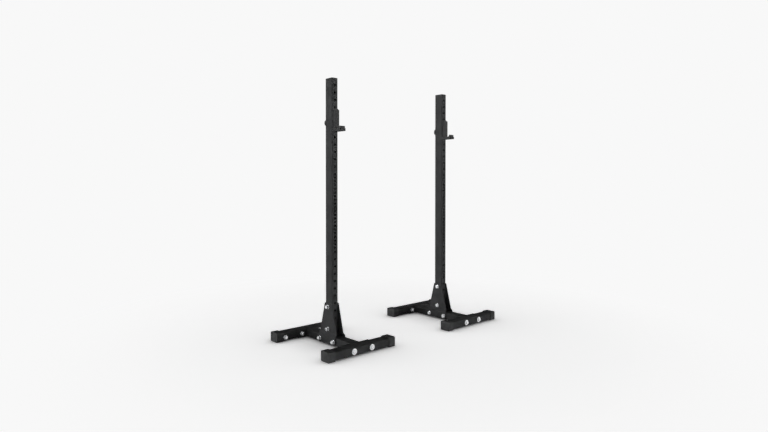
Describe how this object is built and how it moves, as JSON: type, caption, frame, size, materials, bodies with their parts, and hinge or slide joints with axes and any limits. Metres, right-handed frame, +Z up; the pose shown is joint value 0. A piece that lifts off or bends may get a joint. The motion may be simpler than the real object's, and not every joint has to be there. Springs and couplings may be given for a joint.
{
  "type": "squat stand pair",
  "caption": "Pair of independent squat stands, each an upright with rack holes on an H-shaped bolted base, with a pinned J-cup to hold one end of a barbell.",
  "frame": {"origin": "on the floor, midway between the two uprights", "axes": "+X from the left stand to the right one along the bar, +Y from the lifter's side to the back, +Z up"},
  "size_m": [1.7016, 0.694, 1.8368],
  "materials": {
    "frame_powder_coat": "satin black powder coat on steel",
    "rubber_cap": "matt black moulded rubber",
    "liner_plastic": "black polyethylene",
    "black_plastic": "fine textured black plastic",
    "zinc_hardware": "bright zinc plate"
  },
  "bodies": {
    "root": {"left_upright": "frame_powder_coat", "left_top_plug": "black_plastic", "left_centre_tube": "frame_powder_coat", "left_outer_gusset": "frame_powder_coat", "left_inner_gusset": "frame_powder_coat", "left_gusset_bolt_upper": "zinc_hardware", "left_gusset_nut_upper": "zinc_hardware", "left_gusset_bolt_middle": "zinc_hardware", "left_gusset_nut_middle": "zinc_hardware", "left_gusset_bolt_front": "zinc_hardware", "left_gusset_nut_front": "zinc_hardware", "left_gusset_bolt_rear": "zinc_hardware", "left_gusset_nut_rear": "zinc_hardware", "left_front_foot": "frame_powder_coat", "left_front_outer_end_cap": "rubber_cap", "left_front_foot_bolt_outer": "zinc_hardware", "left_front_foot_nut_outer": "zinc_hardware", "left_front_inner_end_cap": "rubber_cap", "left_front_foot_bolt_inner": "zinc_hardware", "left_front_foot_nut_inner": "zinc_hardware", "left_back_foot": "frame_powder_coat", "left_back_outer_end_cap": "rubber_cap", "left_back_foot_bolt_outer": "zinc_hardware", "left_back_foot_nut_outer": "zinc_hardware", "left_back_inner_end_cap": "rubber_cap", "left_back_foot_bolt_inner": "zinc_hardware", "left_back_foot_nut_inner": "zinc_hardware", "right_upright": "frame_powder_coat", "right_top_plug": "black_plastic", "right_centre_tube": "frame_powder_coat", "right_outer_gusset": "frame_powder_coat", "right_inner_gusset": "frame_powder_coat", "right_gusset_bolt_upper": "zinc_hardware", "right_gusset_nut_upper": "zinc_hardware", "right_gusset_bolt_middle": "zinc_hardware", "right_gusset_nut_middle": "zinc_hardware", "right_gusset_bolt_front": "zinc_hardware", "right_gusset_nut_front": "zinc_hardware", "right_gusset_bolt_rear": "zinc_hardware", "right_gusset_nut_rear": "zinc_hardware", "right_front_foot": "frame_powder_coat", "right_front_outer_end_cap": "rubber_cap", "right_front_foot_bolt_outer": "zinc_hardware", "right_front_foot_nut_outer": "zinc_hardware", "right_front_inner_end_cap": "rubber_cap", "right_front_foot_bolt_inner": "zinc_hardware", "right_front_foot_nut_inner": "zinc_hardware", "right_back_foot": "frame_powder_coat", "right_back_outer_end_cap": "rubber_cap", "right_back_foot_bolt_outer": "zinc_hardware", "right_back_foot_nut_outer": "zinc_hardware", "right_back_inner_end_cap": "rubber_cap", "right_back_foot_bolt_inner": "zinc_hardware", "right_back_foot_nut_inner": "zinc_hardware"},
    "left_jcup": {"left_jcup_bracket": "frame_powder_coat", "left_jcup_liner": "liner_plastic"},
    "right_jcup": {"right_jcup_bracket": "frame_powder_coat", "right_jcup_liner": "liner_plastic"},
    "left_knob": {"left_jcup_knob": "black_plastic"},
    "right_knob": {"right_jcup_knob": "black_plastic"}
  },
  "joints": [
    {"name": "left_jcup_pull", "type": "slide", "parent": "root", "child": "left_jcup", "axis": [0, -1, 0], "range_m": [0, 0.1]},
    {"name": "left_knob_off", "type": "slide", "parent": "root", "child": "left_knob", "axis": [0, 1, 0], "range_m": [0, 0.03]},
    {"name": "right_jcup_pull", "type": "slide", "parent": "root", "child": "right_jcup", "axis": [0, -1, 0], "range_m": [0, 0.1]},
    {"name": "right_knob_off", "type": "slide", "parent": "root", "child": "right_knob", "axis": [0, 1, 0], "range_m": [0, 0.03]}
  ]
}
